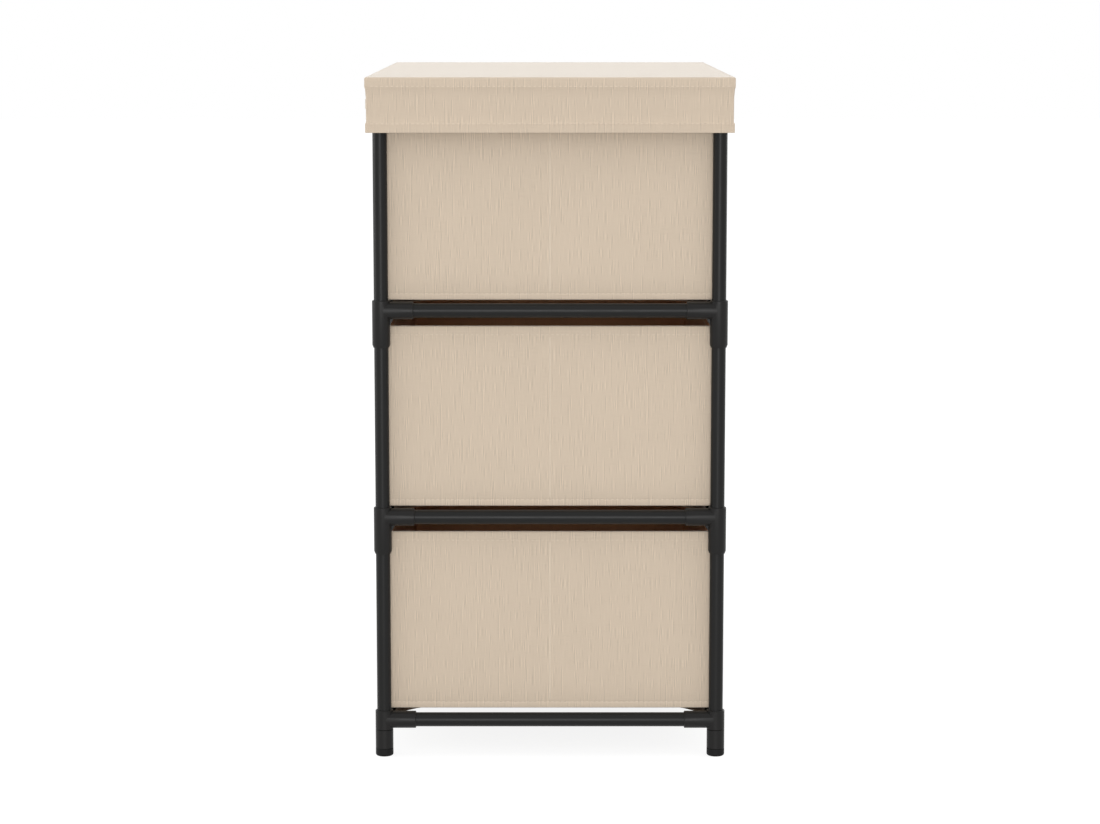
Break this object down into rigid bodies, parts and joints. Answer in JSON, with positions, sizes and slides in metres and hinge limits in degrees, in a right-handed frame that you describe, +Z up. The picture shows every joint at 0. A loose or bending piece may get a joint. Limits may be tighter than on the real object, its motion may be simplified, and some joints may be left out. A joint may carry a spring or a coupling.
{
  "type": "fabric drawer dresser",
  "caption": "Small free-standing dresser: tube frame with moulded corner connectors, sliding fabric drawers on fabric slings, and a board top under a fitted fabric cover.",
  "frame": {"origin": "on the floor under the middle of the top cover", "axes": "+Z up; +X along the width, to the right of someone who faces the drawer fronts; +Y from the drawer fronts (pulls) to the back"},
  "size_m": [0.5, 0.305, 0.574],
  "materials": {
    "powder_coated_tube": "satin",
    "moulded_black_plastic": "satin",
    "top_board": "raw fibreboard",
    "cover_linen": "woven linen look",
    "drawer_linen": "woven linen look",
    "sling_fabric": "non-woven",
    "stiffener_board": "raw fibreboard",
    "webbing": "woven webbing"
  },
  "bodies": {
    "frame": {"post_front_left": "powder_coated_tube", "post_front_right": "powder_coated_tube", "post_back_left": "powder_coated_tube", "post_back_right": "powder_coated_tube", "connectors_level_1": "moulded_black_plastic", "rail_front_1": "powder_coated_tube", "rail_back_1": "powder_coated_tube", "rail_left_1": "powder_coated_tube", "rail_right_1": "powder_coated_tube", "connectors_level_2": "moulded_black_plastic", "rail_front_2": "powder_coated_tube", "rail_back_2": "powder_coated_tube", "rail_left_2": "powder_coated_tube", "rail_right_2": "powder_coated_tube", "connectors_level_3": "moulded_black_plastic", "rail_front_3": "powder_coated_tube", "rail_back_3": "powder_coated_tube", "rail_left_3": "powder_coated_tube", "rail_right_3": "powder_coated_tube", "connectors_level_4": "moulded_black_plastic", "rail_front_4": "powder_coated_tube", "rail_back_4": "powder_coated_tube", "rail_left_4": "powder_coated_tube", "rail_right_4": "powder_coated_tube", "sling_shelf_1": "sling_fabric", "sling_shelf_2": "sling_fabric", "sling_shelf_3": "sling_fabric", "foot_caps": "moulded_black_plastic", "top_board": "top_board", "cover_top": "cover_linen", "cover_skirt": "cover_linen"},
    "drawer_1": {"drawer_1_shell": "drawer_linen", "drawer_1_front_board": "stiffener_board", "drawer_1_back_board": "stiffener_board", "drawer_1_side_boards": "stiffener_board", "drawer_1_base_board": "stiffener_board", "drawer_1_pull": "webbing"},
    "drawer_2": {"drawer_2_shell": "drawer_linen", "drawer_2_front_board": "stiffener_board", "drawer_2_back_board": "stiffener_board", "drawer_2_side_boards": "stiffener_board", "drawer_2_base_board": "stiffener_board", "drawer_2_pull": "webbing"},
    "drawer_3": {"drawer_3_shell": "drawer_linen", "drawer_3_front_board": "stiffener_board", "drawer_3_back_board": "stiffener_board", "drawer_3_side_boards": "stiffener_board", "drawer_3_base_board": "stiffener_board", "drawer_3_pull": "webbing"}
  },
  "joints": [
    {"name": "drawer_1_slide", "type": "slide", "parent": "frame", "child": "drawer_1", "axis": [0, -1, 0], "range_m": [0, 0.23]},
    {"name": "drawer_2_slide", "type": "slide", "parent": "frame", "child": "drawer_2", "axis": [0, -1, 0], "range_m": [0, 0.23]},
    {"name": "drawer_3_slide", "type": "slide", "parent": "frame", "child": "drawer_3", "axis": [0, -1, 0], "range_m": [0, 0.23]}
  ]
}
